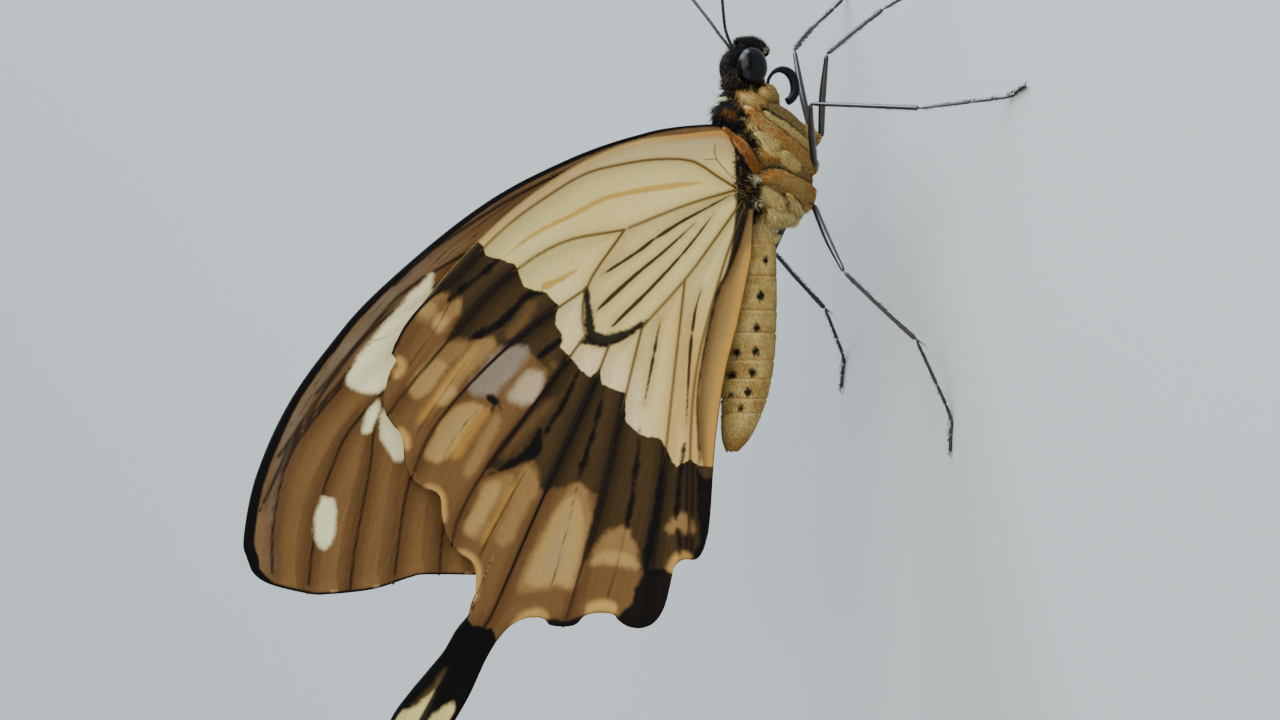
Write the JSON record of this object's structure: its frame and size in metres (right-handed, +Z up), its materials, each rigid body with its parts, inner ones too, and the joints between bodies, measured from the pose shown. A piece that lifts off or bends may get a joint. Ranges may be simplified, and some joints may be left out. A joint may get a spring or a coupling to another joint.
{
  "type": "african swallowtail butterfly",
  "caption": "Swallowtail butterfly model standing on its feet, wings closed upright over the back, with tailed hindwings, clubbed antennae and a coiled proboscis.",
  "frame": {"origin": "on the floor, under the middle of the model's box", "axes": "+X toward the head, +Z up, -Y the animal's right side, which the camera sees"},
  "size_m": [0.07, 0.0416, 0.0525],
  "materials": {
    "head": "black hair-like scales with pale flecks",
    "thorax": "tan and cream fur with dark bands, black along the back",
    "abdomen": "ochre scales with dark spots and segment lines",
    "eye": "glossy faceted black-brown",
    "antenna": "dark ringed shaft with a club",
    "palp": "cream and dark scales",
    "proboscis": "glossy purple-black",
    "forewing": "scaled membrane, brown and ochre with pale patches and dark veins",
    "hindwing": "scaled membrane, cream with an olive-brown band and dark veins",
    "leg": "dark grey-brown chitin with fine hairs"
  },
  "bodies": {
    "root": {"head": "head", "thorax": "thorax", "abdomen": "abdomen", "eye_l": "eye", "eye_r": "eye", "antenna_l": "antenna", "antenna_r": "antenna", "palp_l": "palp", "palp_r": "palp", "proboscis": "proboscis", "forewing_l": "forewing", "forewing_r": "forewing", "hindwing_l": "hindwing", "hindwing_r": "hindwing", "femur_fore_r": "leg", "tibia_fore_r": "leg", "tarsus_fore_r": "leg", "femur_fore_l": "leg", "tibia_fore_l": "leg", "tarsus_fore_l": "leg", "femur_mid_r": "leg", "tibia_mid_r": "leg", "tarsus_mid_r": "leg", "femur_mid_l": "leg", "tibia_mid_l": "leg", "tarsus_mid_l": "leg", "femur_hind_r": "leg", "tibia_hind_r": "leg", "tarsus_hind_r": "leg", "femur_hind_l": "leg", "tibia_hind_l": "leg", "tarsus_hind_l": "leg"}
  },
  "joints": []
}
